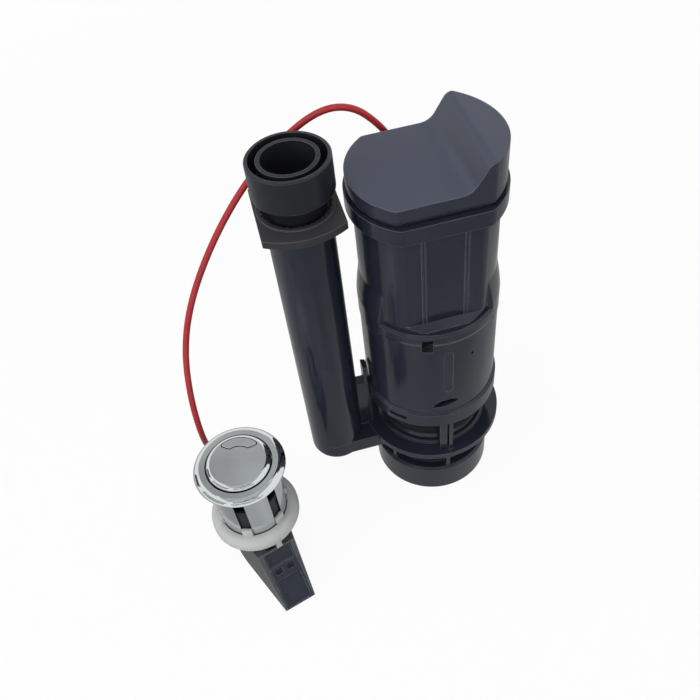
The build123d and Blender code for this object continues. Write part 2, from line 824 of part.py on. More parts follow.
# Lift lever: forked under the rod's head, on a pin at the front and pulled by the wire at the back
lift_length = wire_arm / cos(lift_angle)
tail_length = lift_length + lift_tail_past
with BuildPart() as lift_lever:
    with BuildSketch(Plane.YZ):
        with Locations(Location((lift_pivot_y, lift_pivot_z), -lift_half_swing)):
            Rectangle(lift_reach + lift_fork, lift_bar, align=(Align.MIN, Align.CENTER))
            Circle(pin_r + lift_hub_wall)
            with Locations((lift_reach, 0)):
                Circle(lift_nose_r)
    extrude(amount=lift_width / 2, both=True)
    with BuildSketch(level(lift_pivot_z - lift_cut / 2)):
        Rectangle(2 * (rod_r + 2 * run_gap), lift_slot_length)
    extrude(amount=lift_cut, mode=Mode.SUBTRACT)
    with BuildSketch(Plane.YZ.offset(wire_x)):
        with Locations(Location((lift_pivot_y, lift_pivot_z), -lift_half_swing)):
            with Locations((lift_reach + lift_tail_root, 0)):
                Rectangle(
                    tail_length - lift_reach - lift_tail_root, lift_bar, align=(Align.MIN, Align.CENTER)
                )
    extrude(amount=lift_tail_width / 2, both=True)
    with BuildSketch(level(lift_pivot_z - lift_cut / 2)):
        with Locations((wire_x, wire_y - wire_r - 0.85)):
            Rectangle(2 * wire_r + 0.9, 3 * lift_tail_past, align=(Align.CENTER, Align.MIN))
    extrude(amount=lift_cut, mode=Mode.SUBTRACT)
    with BuildSketch(Plane.YZ):
        with Locations((lift_pivot_y, lift_pivot_z)):
            Circle(pin_r + pin_fit)
    extrude(amount=lift_width, both=True, mode=Mode.SUBTRACT)
save(lift_lever, "lift_lever")

with BuildPart() as lift_pin:
    with BuildSketch(Plane.YZ):
        with Locations((lift_pivot_y, lift_pivot_z)):
            Circle(pin_r)
    extrude(amount=ear_out, both=True)
save(lift_pin, "lift_pin")

# Valve end of the cable: ferrule in the boss, and the wire's end below the lever's tail
with BuildPart() as valve_ferrule:
    with BuildSketch(level(valve_ferrule_top - valve_ferrule_length)):
        with Locations((wire_x, wire_y)):
            Circle(ferrule_r)
    extrude(amount=valve_ferrule_length)
    with BuildSketch(level(boss_bottom + boss_height)):
        with Locations((wire_x, wire_y)):
            Circle(ferrule_r + 1.5)
    extrude(amount=2)
    with BuildSketch(level(valve_ferrule_top - valve_ferrule_length)):
        with Locations((wire_x, wire_y)):
            Circle(wire_bore_r)
    extrude(amount=valve_ferrule_length, mode=Mode.SUBTRACT)
save(valve_ferrule, "valve_ferrule")

nipple_top = lift_end_z - lift_bar / 2 / cos(lift_angle) - nipple_r * tan(lift_angle) - run_gap
with BuildPart() as valve_wire:
    with BuildSketch(level(nipple_top - nipple_length)):
        with Locations((wire_x, wire_y)):
            Circle(nipple_r)
    extrude(amount=nipple_length)
    with BuildSketch(level(nipple_top)):
        with Locations((wire_x, wire_y)):
            Circle(wire_r)
    extrude(amount=valve_ferrule_top - pull - 3 - nipple_top)
save(valve_wire, "valve_wire")

# Push button frame: level planes, an upright plane through the axis, and one seen from its side
turn = radians(button_turn)
button_origin = (button_x, button_y, 0)
button_axis = Axis(button_origin, (0, 0, 1))
button_plane = Plane(origin=button_origin, x_dir=(cos(turn), sin(turn), 0), z_dir=(0, 0, 1))
radial_plane = Plane(origin=button_origin, x_dir=(cos(turn), sin(turn), 0), z_dir=(sin(turn), -cos(turn), 0))
side_plane = Plane(origin=button_origin, x_dir=(-sin(turn), cos(turn), 0), z_dir=(cos(turn), sin(turn), 0))
kidney_turn = turn + radians(kidney_angle - 90)
kidney_plane = Plane(
    origin=button_origin, x_dir=(cos(kidney_turn), sin(kidney_turn), 0), z_dir=(0, 0, 1)
)


def kidney(grow):
    """Sketch of the small button's outline, grown by a margin, with +Y away from the button's axis."""
    with BuildSketch() as outline:
        with BuildLine():
            ThreePointArc(
                (-kidney_half_length, kidney_tip), (0, kidney_outer), (kidney_half_length, kidney_tip)
            )
            Line((kidney_half_length, kidney_tip), (kidney_lobe, kidney_inner))
            ThreePointArc((kidney_lobe, kidney_inner), (0, kidney_notch), (-kidney_lobe, kidney_inner))
            Line((-kidney_lobe, kidney_inner), (-kidney_half_length, kidney_tip))
        make_face()
        fillet(outline.vertices(), 1.0)
        if grow:
            offset(amount=grow)
    return outline.sketch


# Barrel: chrome bezel and slotted tube in one
barrel_wall = barrel_r - button_hole_r
with BuildPart() as button_barrel:
    with BuildSketch(radial_plane):
        with BuildLine():
            Polyline(
                (neck_r, barrel_bottom),
                (neck_r, socket_top + snap_gap),
                (barrel_r, socket_top + snap_gap + 2),
                (barrel_r, bezel_bottom),
                (bezel_r - 0.5, bezel_bottom),
                (bezel_r, bezel_bottom + 0.7),
            )
            ThreePointArc(
                (bezel_r, bezel_bottom + 0.7),
                ((bezel_r + bezel_flat_r) / 2 + 0.3, bezel_top - 0.9),
                (bezel_flat_r, bezel_top),
            )
            Polyline(
                (bezel_flat_r, bezel_top),
                (button_hole_r + 0.4, bezel_top),
                (button_hole_r, bezel_top - 0.4),
                (button_hole_r, core_seat),
                (core_seat_r, core_seat),
                (core_seat_r, core_seat - 3),
                (neck_r - button_wall, core_seat - 3),
                (neck_r - button_wall, barrel_bottom),
                (neck_r, barrel_bottom),
            )
        make_face()
    revolve(axis=button_axis)
    with BuildSketch(button_plane.offset(slot_bottom)):
        with PolarLocations(button_hole_r - 2, slot_count, start_angle=slot_angle):
            Rectangle(barrel_wall + 4, slot_width, align=(Align.MIN, Align.CENTER))
    extrude(amount=slot_top - slot_bottom, mode=Mode.SUBTRACT)
save(button_barrel, "button_barrel")

# Guide core: sleeve on the barrel's inner lip that guides both stems and seats the main spring
with BuildPart() as guide_core:
    with BuildSketch(button_plane.offset(core_seat)):
        Circle(button_hole_r - snap_gap)
    extrude(amount=core_top - core_seat)
    with BuildSketch(button_plane.offset(core_floor)):
        Circle(button_hole_r - snap_gap - wall + 0.4)
    extrude(amount=core_top - core_floor, mode=Mode.SUBTRACT)
    with BuildSketch(button_plane.offset(core_seat)):
        Circle(stem_r + run_gap)
    extrude(amount=core_floor - core_seat, mode=Mode.SUBTRACT)
    with BuildSketch(kidney_plane.offset(core_seat)):
        with Locations((0, small_stem_at)):
            Circle(small_stem_r + run_gap)
    extrude(amount=core_floor - core_seat, mode=Mode.SUBTRACT)
save(guide_core, "guide_core")

# Main button: chrome cap with the small button's opening
button_r = button_hole_r - run_gap
with BuildPart() as main_button:
    with BuildSketch(radial_plane):
        with BuildLine():
            Polyline(
                (0, button_top - button_plate),
                (button_r - button_wall, button_top - button_plate),
                (button_r - button_wall, button_skirt_bottom),
                (button_r, button_skirt_bottom),
                (button_r, button_top - button_edge_drop),
            )
            ThreePointArc(
                (button_r, button_top - button_edge_drop),
                ((button_r + button_edge_r) / 2 + 0.4, button_top - 0.35 * button_edge_drop),
                (button_edge_r, button_top),
            )
            Polyline((button_edge_r, button_top), (0, button_top), (0, button_top - button_plate))
        make_face()
    revolve(axis=button_axis)
    with BuildSketch(kidney_plane.offset(button_top - button_plate)):
        add(kidney(kidney_gap))
    extrude(amount=button_plate, mode=Mode.SUBTRACT)
save(main_button, "main_button")

# Carrier: disc under the main button with the stem that presses the lever
lever_swing = radians(lever_half_swing)
lever_nose_top = lever_pivot_z + lever_reach * sin(lever_swing) + lever_nose_r
stem_bottom = lever_nose_top + run_gap
carrier_spigot_r = button_r - button_wall - snap_gap
with BuildPart() as button_carrier:
    with BuildSketch(button_plane.offset(carrier_bottom)):
        Circle(button_r - 0.4)
    extrude(amount=carrier_thickness)
    with BuildSketch(button_plane.offset(button_skirt_bottom)):
        Circle(carrier_spigot_r)
        Circle(carrier_spigot_r - 1.1, mode=Mode.SUBTRACT)
    extrude(amount=2)
    with BuildSketch(button_plane.offset(stem_bottom)):
        Circle(stem_r)
    extrude(amount=carrier_bottom - stem_bottom)
    with BuildSketch(kidney_plane.offset(carrier_bottom)):
        with Locations((0, small_stem_at)):
            Circle(small_stem_r + run_gap)
    extrude(amount=carrier_thickness, mode=Mode.SUBTRACT)
save(button_carrier, "button_carrier")

# Small button: kidney-shaped cap with a retaining flange and a stem of its own
flange_up = button_top - button_plate - run_gap
flange_low = flange_up - 1.8
with BuildPart() as small_button:
    with BuildSketch(kidney_plane.offset(flange_low)):
        add(kidney(kidney_flange))
    extrude(amount=flange_up - flange_low)
    with BuildSketch(kidney_plane.offset(flange_up)):
        add(kidney(0))
    extrude(amount=button_top + 0.4 - flange_up)
    fillet(small_button.faces().sort_by(Axis.Z)[-1].edges(), 0.4)
    with BuildSketch(kidney_plane.offset(small_stem_bottom)):
        with Locations((0, small_stem_at)):
            Circle(small_stem_r)
    extrude(amount=flange_low - small_stem_bottom)
save(small_button, "small_button")

# Springs of the two buttons
main_spring_wire = 0.55
main_spring_r = stem_r + 2.2
main_spring_length = carrier_bottom - core_floor - 2 * main_spring_wire - 0.2
main_spring_plane = button_plane.offset(core_floor + main_spring_wire + 0.1)
with BuildPart() as main_spring:
    with BuildLine(main_spring_plane):
        main_coil = Helix(main_spring_length / 6, main_spring_length, main_spring_r)
    with BuildSketch(Plane(main_coil @ 0, z_dir=main_coil % 0)):
        RegularPolygon(main_spring_wire, 8)
    sweep(path=main_coil, is_frenet=True)
save(main_spring, "main_spring")

small_spring_wire = 0.4
small_spring_r = small_stem_r + 1.0
small_spring_length = flange_low - button_skirt_bottom - 2 * small_spring_wire - 0.2
small_spring_centre = kidney_plane.from_local_coords((0, small_stem_at, 0))
small_spring_plane = Plane(small_spring_centre).offset(button_skirt_bottom + small_spring_wire + 0.1)
with BuildPart() as small_spring:
    with BuildLine(small_spring_plane):
        small_coil = Helix(small_spring_length / 4, small_spring_length, small_spring_r)
    with BuildSketch(Plane(small_coil @ 0, z_dir=small_coil % 0)):
        RegularPolygon(small_spring_wire, 8)
    sweep(path=small_coil, is_frenet=True)
save(small_spring, "small_spring")

# Clamp nut: slides up the barrel on tabs in its slots, with two prongs below to grip it by
with BuildPart() as clamp_nut:
    with BuildSketch(radial_plane):
        with BuildLine():
            Polyline(
                (nut_r - nut_round, nut_top),
                (barrel_r + run_gap, nut_top),
                (barrel_r + run_gap, nut_bottom),
                (nut_r - nut_chamfer, nut_bottom),
                (nut_r, nut_bottom + nut_chamfer),
                (nut_r, nut_top - nut_round),
            )
            ThreePointArc(
                (nut_r, nut_top - nut_round),
                (nut_r - 0.3 * nut_round, nut_top - 0.3 * nut_round),
                (nut_r - nut_round, nut_top),
            )
        make_face()
    revolve(axis=button_axis)
    with BuildSketch(button_plane.offset(nut_top - 3)):
        with PolarLocations(button_hole_r + run_gap, slot_count, start_angle=slot_angle):
            Rectangle(2, slot_width - 2 * run_gap, align=(Align.MIN, Align.CENTER))
    extrude(amount=3 + nut_tab_height)
    with BuildSketch(button_plane.offset(nut_bottom - prong_length)):
        with PolarLocations(prong_r, 2, start_angle=prong_angle):
            Rectangle(prong_thickness, prong_width, align=(Align.MIN, Align.CENTER))
    extrude(amount=prong_length + nut_thickness / 2)
save(clamp_nut, "clamp_nut")

# Lever housing: wedge with a sloping front, under a round socket for the barrel's end
front_lean = (front_top - front_tip) / housing_top


def wedge(inset):
    """Solid of the housing's wedge, drawn in by an inset all round."""
    slope = (1 + front_lean**2) ** 0.5
    low = inset
    high = housing_top - inset
    top_front = front_top + inset * (slope - front_lean)
    tip_front = front_tip + inset * slope + low * front_lean
    back = housing_back - inset
    half_tip = tip_width / 2 - inset
    widen = tan(radians(side_splay))
    with BuildPart() as form:
        with BuildSketch(side_plane) as side:
            with BuildLine():
                Polyline((top_front, high), (tip_front, low), (back, low), (back, high), close=True)
            make_face()
            fillet(side.vertices().group_by(Axis.Y)[0].sort_by(Axis.X)[0], tip_r)
            fillet(side.vertices().sort_by_distance((back, low))[0], heel_r - inset)
        extrude(amount=2 * socket_r, both=True)
        with BuildSketch(button_plane):
            with BuildLine():
                Polyline(
                    (-half_tip + 10 * widen, front_tip - 10),
                    (half_tip - 10 * widen, front_tip - 10),
                    (half_tip + (housing_back + 10 - front_tip) * widen, housing_back + 10),
                    (-half_tip - (housing_back + 10 - front_tip) * widen, housing_back + 10),
                    close=True,
                )
            make_face()
        extrude(amount=housing_top, taper=side_draft, mode=Mode.INTERSECT)
    return form.part


def cover_slab(inset, play):
    """Solid of the front cover between the side walls, with a play round it."""
    slope = (1 + front_lean**2) ** 0.5
    depth = (cover_thickness + play) * slope
    with BuildPart() as slab:
        with BuildSketch(side_plane):
            with BuildLine():
                Polyline(
                    (front_top - 1, housing_top),
                    (front_tip - 1, 0),
                    (front_tip + depth, 0),
                    (front_top + depth, housing_top),
                    close=True,
                )
            make_face()
        extrude(amount=2 * socket_r, both=True)
        add(wedge(0), mode=Mode.INTERSECT)
        with BuildSketch(front_plane):
            with Locations((0, play / 2)):
                Rectangle(tip_width - 2 * inset, front_length - 2 * inset + play)
        extrude(amount=3 * cover_thickness, both=True, mode=Mode.INTERSECT)
    return slab.part


front_length = (housing_top**2 + (front_top - front_tip) ** 2) ** 0.5
front_up = (housing_top / front_length, (front_top - front_tip) / front_length)
front_plane = Plane(
    origin=side_plane.from_local_coords(((front_top + front_tip) / 2, housing_top / 2, 0)),
    x_dir=side_plane.z_dir,
    z_dir=-front_up[0] * side_plane.x_dir + front_up[1] * side_plane.y_dir,
)
wire_z = lever_pivot_z - lever_drop * (1 + cos(lever_swing)) / 2
with BuildPart() as actuator_housing:
    add(wedge(0))
    with BuildSketch(button_plane.offset(barrel_bottom - wall)):
        Circle(socket_r)
    extrude(amount=socket_top - barrel_bottom + wall)
    add(wedge(wall), mode=Mode.SUBTRACT)
    add(cover_slab(cover_lip, 0), mode=Mode.SUBTRACT)
    with BuildSketch(button_plane.offset(barrel_bottom)):
        Circle(neck_r + pin_fit)
    extrude(amount=socket_top - barrel_bottom, mode=Mode.SUBTRACT)
    # Way up through the socket's floor for the lever
    with BuildSketch(button_plane.offset(barrel_bottom - 2 * wall)):
        with Locations((0, (lever_pivot_y - lever_hub_r) / 2)):
            Rectangle(lever_thickness + 2 * lever_play, lever_reach + 2 * (lever_hub_r + lever_way))
    extrude(amount=2 * wall, mode=Mode.SUBTRACT)
    # Bosses for the lever's pin, and the hole for the ferrule
    with BuildSketch(side_plane):
        with Locations((lever_pivot_y, lever_pivot_z - pin_boss_drop)):
            Rectangle(pin_boss_width, 2 * (pin_r + pin_boss_wall))
    extrude(amount=socket_r - pin_boss_inset, both=True)
    with BuildSketch(side_plane):
        with Locations((lever_pivot_y, lever_pivot_z - pin_boss_drop)):
            Rectangle(2 * (lever_hub_r + hub_play), 2 * (pin_r + hub_head))
    extrude(amount=lever_thickness / 2 + 0.5, both=True, mode=Mode.SUBTRACT)
    with BuildSketch(side_plane):
        with Locations((lever_pivot_y, lever_pivot_z)):
            Circle(pin_r + pin_fit)
    extrude(amount=socket_r, both=True, mode=Mode.SUBTRACT)
    with BuildSketch(radial_plane.offset(-housing_back + 2 * wall)):
        with Locations((0, wire_z)):
            Circle(ferrule_r + pin_fit)
    extrude(amount=-4 * wall, mode=Mode.SUBTRACT)
save(actuator_housing, "actuator_housing")

# Cover: front of the wedge, with a sunk panel, a block with two clip pockets and a sunk lower face
cover_width = tip_width - 2 * (cover_lip + snap_gap)
block_y = front_length / 2 - cover_lip - cover_panel - clip_block / 2
lower_length = front_length - 2 * cover_lip - cover_panel - clip_block - 3
with BuildPart() as actuator_cover:
    add(cover_slab(cover_lip + snap_gap, -snap_gap))
    with BuildSketch(front_plane):
        with Locations((0, front_length / 2 - cover_lip - cover_panel / 2)):
            Rectangle(cover_width - 2, cover_panel - 1)
    extrude(amount=-cover_sink, mode=Mode.SUBTRACT)
    with BuildSketch(front_plane):
        with Locations((0, block_y - clip_block / 2 - 1 - lower_length / 2)):
            Rectangle(cover_width - 2.4, lower_length)
    extrude(amount=-cover_sink / 2, mode=Mode.SUBTRACT)
    with BuildSketch(front_plane.offset(-cover_thickness / 2)):
        with Locations((0, block_y)):
            RectangleRounded(cover_width - 0.6, clip_block, 1.2)
    extrude(amount=cover_thickness / 2 + clip_rise)
    with BuildSketch(front_plane.offset(clip_rise)):
        with Locations((-0.8 * clip_pocket, block_y + 0.8), (0.8 * clip_pocket, block_y + 0.8)):
            Rectangle(clip_pocket, 0.75 * clip_pocket)
    extrude(amount=-clip_rise - cover_sink, mode=Mode.SUBTRACT)
save(actuator_cover, "actuator_cover")

# Lever: the stem presses its nose and its forked end draws the wire forward
lever_x = lever_pivot_y + lever_drop * sin(lever_swing)
with BuildPart() as actuator_lever:
    with BuildSketch(side_plane):
        with Locations((lever_pivot_y, lever_pivot_z)):
            Circle(lever_hub_r)
        with Locations(Location((lever_pivot_y, lever_pivot_z), lever_half_swing)):
            Rectangle(lever_reach, 1.2 * lever_nose_r, align=(Align.MIN, Align.CENTER))
            with Locations((lever_reach, 0)):
                Circle(lever_nose_r)
        with Locations(Location((lever_pivot_y, lever_pivot_z), lever_half_swing - 90)):
            with Locations((lever_drop / 2, 0)):
                SlotCenterToCenter(lever_drop, lever_arm)
        with Locations((lever_pivot_y, lever_pivot_z)):
            Circle(pin_r + pin_fit, mode=Mode.SUBTRACT)
    extrude(amount=lever_thickness / 2, both=True)
    with BuildSketch(side_plane):
        with Locations(Location((lever_pivot_y, lever_pivot_z), lever_half_swing - 90)):
            with Locations((lever_drop - 2.2, 0)):
                Rectangle(3 * lever_arm, 3 * lever_arm, align=(Align.MIN, Align.CENTER))
    extrude(amount=wire_r + 0.5, both=True, mode=Mode.SUBTRACT)
save(actuator_lever, "actuator_lever")

with BuildPart() as lever_pin:
    with BuildSketch(side_plane):
        with Locations((lever_pivot_y, lever_pivot_z)):
            Circle(pin_r)
    extrude(amount=tip_width / 2, both=True)
save(lever_pin, "lever_pin")

# Button end of the cable: ferrule in the housing's back, and the wire's end in front of the fork
with BuildPart() as actuator_ferrule:
    with BuildSketch(radial_plane.offset(-actuator_ferrule_front)):
        with Locations((0, wire_z)):
            Circle(ferrule_r)
    extrude(amount=actuator_ferrule_front - actuator_ferrule_back)
    with BuildSketch(radial_plane.offset(-housing_back)):
        with Locations((0, wire_z)):
            Circle(ferrule_r + 1.5)
    extrude(amount=-2)
    with BuildSketch(radial_plane.offset(-actuator_ferrule_front)):
        with Locations((0, wire_z)):
            Circle(wire_bore_r)
    extrude(amount=actuator_ferrule_front - actuator_ferrule_back, mode=Mode.SUBTRACT)
save(actuator_ferrule, "actuator_ferrule")

nipple_back = lever_x - lever_arm / 2 / cos(lever_swing) - nipple_r * tan(lever_swing) - run_gap
with BuildPart() as actuator_wire:
    with BuildSketch(radial_plane.offset(-nipple_back)):
        with Locations((0, wire_z)):
            Circle(nipple_r)
    extrude(amount=nipple_length)
    with BuildSketch(radial_plane.offset(-nipple_back)):
        with Locations((0, wire_z)):
            Circle(wire_r)
    extrude(amount=nipple_back - actuator_ferrule_back + 1.5)
save(actuator_wire, "actuator_wire")

# Cable sheath: from the valve's ferrule over behind the overflow and down to the button's ferrule
cable_end = radial_plane.from_local_coords((0, wire_z, -actuator_ferrule_back))
cable_lead = radial_plane.from_local_coords((0, wire_z, -actuator_ferrule_back - cable_lead_length))
cable_route = [
    Vector(wire_x, wire_y, valve_ferrule_top),
    Vector(wire_x, wire_y, valve_ferrule_top + 10),
    Vector(-12, wire_y, 235.5),
    Vector(-25, wire_y + 1.5, 248.5),
    Vector(-42, wire_y + 3, 249),
    Vector(-65, wire_y, 237),
    Vector(-88.5, 29.5, 219),
    Vector(-110, 19.5, 196.5),
    Vector(-127.5, 9.5, 171),
    Vector(-137.5, 0.5, 146),
    Vector(-141.5, -12, 121),
    Vector(-142, -20, 97),
    Vector(-142.5, -10.5, 71),
    Vector(-142.5, 1, 52),
    Vector(-140, 1.5, 34),
    Vector(-135.5, -5.5, 19.5),
    cable_lead,
    cable_end,
]
bend_radii = []
for before, corner, after in zip(cable_route, cable_route[1:], cable_route[2:]):
    run_in = corner - before
    run_out = after - corner
    half_turn = radians(run_in.get_angle(run_out)) / 2
    bend_radii.append(0.45 * min(run_in.length, run_out.length) / tan(half_turn))
print("tightest bend", round(min(bend_radii), 1))
with BuildPart() as cable_sheath:
    with BuildLine():
        cable_path = FilletPolyline(*cable_route, radius=bend_radii)
    with BuildSketch(Plane(cable_path @ 0, z_dir=cable_path % 0)):
        Circle(cable_r)
    sweep(path=cable_path)
print("cable", round(cable_path.length, 1), round(cable_sheath.part.volume / (pi * cable_r**2), 1))
save(cable_sheath, "cable_sheath")
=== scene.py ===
import math

import bpy
import numpy as np
from mathutils import Matrix, Vector


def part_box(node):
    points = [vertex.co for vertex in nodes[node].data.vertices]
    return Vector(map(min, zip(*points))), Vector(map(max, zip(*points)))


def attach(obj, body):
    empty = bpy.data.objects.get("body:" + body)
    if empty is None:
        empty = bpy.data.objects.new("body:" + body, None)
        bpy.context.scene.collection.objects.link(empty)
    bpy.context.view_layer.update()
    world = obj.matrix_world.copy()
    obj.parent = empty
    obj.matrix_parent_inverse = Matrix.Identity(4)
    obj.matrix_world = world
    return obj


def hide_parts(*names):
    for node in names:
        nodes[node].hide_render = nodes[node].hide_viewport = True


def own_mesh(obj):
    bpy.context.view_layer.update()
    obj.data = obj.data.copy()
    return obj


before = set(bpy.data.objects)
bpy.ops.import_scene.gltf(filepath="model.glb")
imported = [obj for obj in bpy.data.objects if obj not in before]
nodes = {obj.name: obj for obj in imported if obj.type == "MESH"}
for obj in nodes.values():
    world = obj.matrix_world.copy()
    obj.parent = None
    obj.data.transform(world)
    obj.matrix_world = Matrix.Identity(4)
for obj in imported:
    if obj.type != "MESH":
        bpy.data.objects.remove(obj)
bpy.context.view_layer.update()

# The valve's body: outlet with its bridge and overflow pipe, bayonet collar and flat-sided housing.
# All are injection-moulded in one blue-grey plastic, with a sheen and faint flow marks; their edges are
# painted paler, partly as wear and partly as painted highlights.


class Sock:
    """A shader value. Arithmetic on it, with numbers or other values, adds Math nodes."""

    def __init__(self, tree, out):
        self.tree = tree
        self.out = out

    def math(self, operation, a, b):
        node = self.tree.nodes.new("ShaderNodeMath")
        node.operation = operation
        for socket, value in zip(node.inputs, (a, b)):
            if isinstance(value, Sock):
                self.tree.links.new(value.out, socket)
            else:
                socket.default_value = value
        return Sock(self.tree, node.outputs[0])

    def __add__(self, other):
        return self.math("ADD", self, other)

    def __radd__(self, other):
        return self.math("ADD", other, self)

    def __sub__(self, other):
        return self.math("SUBTRACT", self, other)

    def __rsub__(self, other):
        return self.math("SUBTRACT", other, self)

    def __mul__(self, other):
        return self.math("MULTIPLY", self, other)

    def __rmul__(self, other):
        return self.math("MULTIPLY", other, self)


# Cells per metre of the plastic's clouds, wear and pores, and the pores' depth.
cloud_cells = 38.0
wear_cells = 140.0
pore_cells = 1900.0
pore_depth = 0.00006


class Shading:
    """The node tree of a material or a world, and methods that add nodes to it."""

    def __init__(self, owner):
        owner.use_nodes = True
        self.tree = owner.node_tree

    def feed(self, node, values):
        """Sets or links a node's inputs by name, or by number."""
        for key, value in values.items():
            socket = node.inputs[key]
            if isinstance(value, Sock):
                self.tree.links.new(value.out, socket)
            else:
                socket.default_value = value

    def node(self, kind, settings=None, values=None, output=0):
        """Adds one node: its type, its settings, its inputs, and which output is wanted."""
        node = self.tree.nodes.new(kind)
        for key, value in (settings or {}).items():
            setattr(node, key, value)
        self.feed(node, values or {})
        return Sock(self.tree, node.outputs[output])

    def here(self):
        """Object coordinates in metres."""
        return self.node("ShaderNodeTexCoord", output="Object")

    def noise(self, scale, detail=2.0, roughness=0.5):
        """Noise of a given number of cells per metre, about 0 to 1."""
        return self.node("ShaderNodeTexNoise", values={
            "Vector": self.here(), "Scale": scale, "Detail": detail, "Roughness": roughness}, output="Fac")

    def stretched(self, across, along):
        """Noise drawn out along Z: cells per metre across it and along it."""
        place = self.node("ShaderNodeMapping", values={
            "Vector": self.here(), "Scale": (across, across, along)})
        return self.node("ShaderNodeTexNoise", values={
            "Vector": place, "Scale": 1.0, "Detail": 2.0}, output="Fac")

    def ramp(self, value, start, end, first=0.0, last=1.0):
        """Runs from first to last as a value goes from start to end, and stays level beyond them."""
        return self.node("ShaderNodeMapRange", {"clamp": True}, {
            "Value": value, "From Min": start, "From Max": end, "To Min": first, "To Max": last})

    def blend(self, factor, a, b):
        """Colour that runs from a to b. The sockets go by number, because their names repeat."""
        return self.node("ShaderNodeMix", {"data_type": "RGBA"}, {0: factor, 6: a, 7: b}, output=2)

    def rounded(self, radius):
        """Normal of a surface whose edges are rounded to a radius."""
        return self.node("ShaderNodeBevel", {"samples": 6}, {"Radius": radius})

    def rub_and_highlight(self, radius):
        """Up to 1 on edges, in patches, and 0 on faces, as the rounded normal turns from the real one: edge
        wear, and a painted highlight along the edges.
        """
        real = self.node("ShaderNodeNewGeometry", output="Normal")
        agree = self.node("ShaderNodeVectorMath", {"operation": "DOT_PRODUCT"},
                          {0: self.rounded(radius), 1: real}, output="Value")
        on_face, on_edge = 0.985, 0.80
        return self.ramp(agree, on_face, on_edge) * (0.4 + 0.6 * self.noise(wear_cells))

    def skin(self, height, strength, distance, edge):
        """Bump of a height field over edges rounded to a radius."""
        return self.node("ShaderNodeBump", values={
            "Height": height, "Strength": strength, "Distance": distance, "Normal": self.rounded(edge)})


class Finish(Shading):
    """A new material with one Principled shader, whose even values are given as constants."""

    def __init__(self, name, **constants):
        self.material = bpy.data.materials.new(name)
        super().__init__(self.material)
        self.shader = self.tree.nodes["Principled BSDF"]
        self.feed(self.shader, constants)


def rgb(red, green, blue):
    """Linear colour from 8-bit display values."""
    def line(value):
        value /= 255
        return value / 12.92 if value <= 0.04045 else ((value + 0.055) / 1.055) ** 2.4
    return (line(red), line(green), line(blue), 1.0)


def moulded(name, dark, pale, scuff_and_highlight, rough, sheen, grain, edge):
    """Moulded plastic: cloudy from dark to pale, with flow marks in the gloss, a fine skin, and edges
    rounded to a radius and painted towards the scuff colour in patches: edge wear, and a painted highlight
    along the edges."""
    finish = Finish(name, **{"Specular IOR Level": sheen})
    cloud = finish.noise(cloud_cells, detail=3.0)
    flow = finish.stretched(across=260.0, along=30.0)
    pores = finish.noise(pore_cells, roughness=0.6)
    # Edges painted paler in patches: wear, and a painted highlight along them.
    wear_and_highlight = finish.rub_and_highlight(edge)
    finish.feed(finish.shader, {
        "Base Color": finish.blend(wear_and_highlight, finish.blend(cloud, dark, pale), scuff_and_highlight),
        "Roughness": rough + (flow - 0.5) * 0.12 + (cloud - 0.5) * 0.08 + wear_and_highlight * 0.1,
        "Normal": finish.skin(pores, grain, pore_depth, edge),
    })
    return finish.material


def dress(material, *names):
    """Gives CAD nodes their material."""
    for name in names:
        nodes[name].data.materials.clear()
        nodes[name].data.materials.append(material)


body_grey = moulded("body_grey", rgb(26, 29, 39), rgb(32, 35, 46), rgb(110, 114, 123),
                    rough=0.14, sheen=0.38, grain=0.05, edge=0.00045)
dress(body_grey, "outlet_ring", "outlet_throat", "valve_base", "overflow_bridge", "overflow_pipe",
      "lower_collar", "upper_housing")

# Works, for the most part hidden in the body and the button: a rod, floats and levers of white plastic,
# and guides of dark plastic. The seal plate and its retainer are painted just as dark, which stands for
# the shade in the gap where they show. The seals are black rubber, the ferrules look much the same, and
# the pins and wires are drawn steel.
works_white = moulded("works_white", rgb(196, 197, 194), rgb(212, 213, 210), rgb(226, 227, 225),
                      rough=0.4, sheen=0.5, grain=0.12, edge=0.0004)
dress(works_white, "lift_rod", "main_float", "half_flush_float", "lift_lever", "actuator_lever")
disc_grey = moulded("disc_grey", rgb(24, 25, 29), rgb(31, 32, 36), rgb(70, 72, 77),
                    rough=0.4, sheen=0.25, grain=0.15, edge=0.0005)
# The seal plate and its retainer are painted dark: painted shade in the gap where they show.
dress(disc_grey, "seal_plate", "seal_retainer", "guide_core", "button_carrier")
seal_black = moulded("seal_black", rgb(20, 20, 21), rgb(28, 28, 29), rgb(44, 44, 45),
                     rough=0.7, sheen=0.3, grain=0.4, edge=0.0005)
dress(seal_black, "flush_seal", "overflow_seal", "valve_ferrule", "actuator_ferrule")
drawn_steel = Finish("drawn_steel", **{"Metallic": 1.0})
streak = drawn_steel.stretched(across=2400.0, along=120.0)
drawn_steel.feed(drawn_steel.shader, {
    "Base Color": drawn_steel.blend(streak, rgb(150, 151, 153), rgb(190, 191, 193)),
    "Roughness": 0.26 + streak * 0.12,
})
dress(drawn_steel.material, "lift_pin", "lever_pin", "valve_wire", "actuator_wire")

# Lid with its finger grip, moulded in the same blue-grey plastic. Its top and the grip are matt, its sides
# polished. Faces are painted paler the more they look up, as painted light from above, and the sides darker,
# as painted shade. Its edges are painted paler in patches, as wear and as painted highlights.
# It plugs into the upper housing and is pulled off by the grip.
lid = Finish("lid_grey", **{"Specular IOR Level": 0.28})
face_up = lid.node("ShaderNodeSeparateXYZ", values={
    0: lid.node("ShaderNodeNewGeometry", output="Normal")}, output="Z")
# Faces that look up are rougher and get the paler colour: painted light from above.
matt_top_and_painted_light = lid.ramp(face_up, 0.25, 0.8)
cloud = lid.noise(cloud_cells, detail=3.0)
